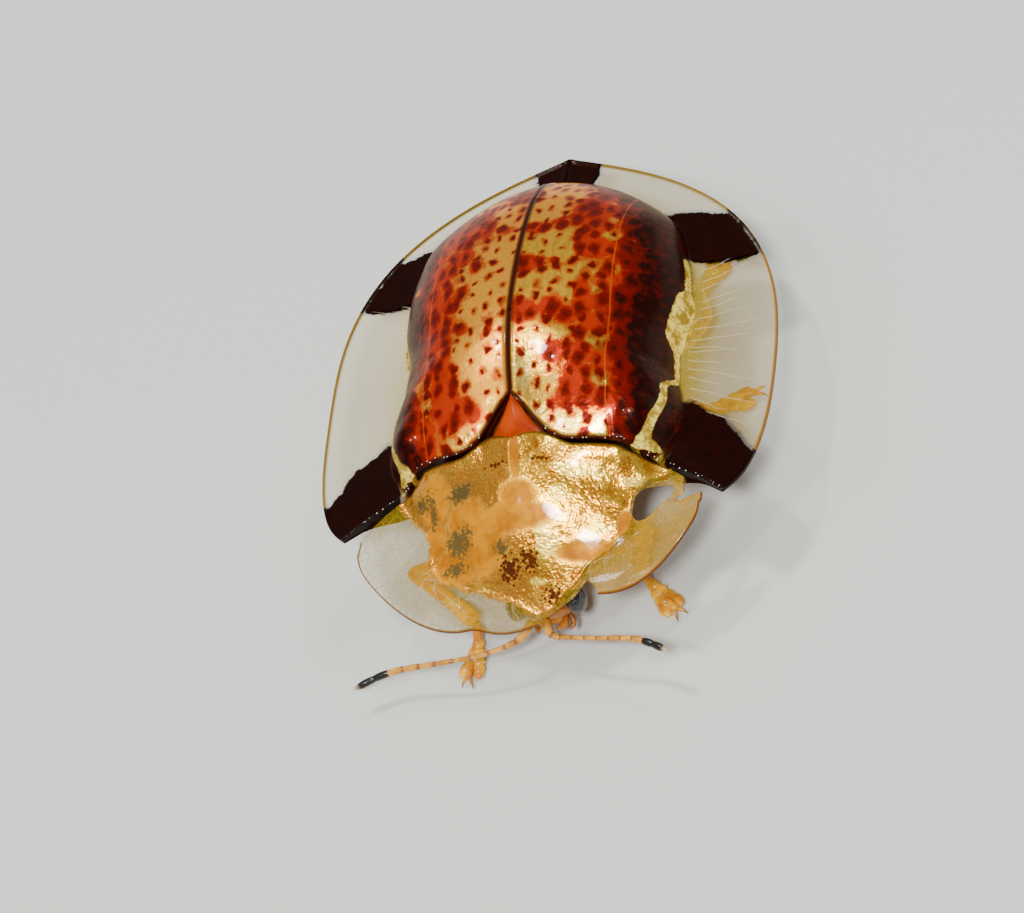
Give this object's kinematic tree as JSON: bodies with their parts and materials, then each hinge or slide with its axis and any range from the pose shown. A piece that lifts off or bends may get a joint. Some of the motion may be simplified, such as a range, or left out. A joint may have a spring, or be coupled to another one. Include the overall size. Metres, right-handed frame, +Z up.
{
  "type": "tortoise beetle",
  "caption": "Life-size tortoise beetle standing with its clear-rimmed domed shell closed, feelers and feet just showing, as in a museum display.",
  "frame": {"origin": "middle of the bounding box at floor level", "axes": "+Z up; the head looks along -Y and the beetle's left side is at +X"},
  "size_m": [0.0112, 0.0139, 0.0052],
  "materials": {
    "wing_case": "gloss, gold and mahogany with clear brims",
    "shield": "gloss, gold with clear brims",
    "orange_plate": "gloss",
    "amber_limb": "satin",
    "straw_feeler": "satin",
    "tan_belly": "satin",
    "grey_eye": "gloss"
  },
  "bodies": {
    "root": {"abdomen": "tan_belly", "antenna_left": "straw_feeler", "antenna_right": "straw_feeler", "elytron_left": "wing_case", "elytron_right": "wing_case", "eye_left": "grey_eye", "eye_right": "grey_eye", "foot_front_left": "amber_limb", "foot_front_right": "amber_limb", "foot_hind_left": "amber_limb", "foot_hind_right": "amber_limb", "foot_middle_left": "amber_limb", "foot_middle_right": "amber_limb", "head": "orange_plate", "pronotum": "shield", "scutellum": "orange_plate", "shin_front_left": "amber_limb", "shin_front_right": "amber_limb", "shin_hind_left": "amber_limb", "shin_hind_right": "amber_limb", "shin_middle_left": "amber_limb", "shin_middle_right": "amber_limb", "thigh_front_left": "amber_limb", "thigh_front_right": "amber_limb", "thigh_hind_left": "amber_limb", "thigh_hind_right": "amber_limb", "thigh_middle_left": "amber_limb", "thigh_middle_right": "amber_limb", "thorax": "tan_belly"}
  },
  "joints": []
}
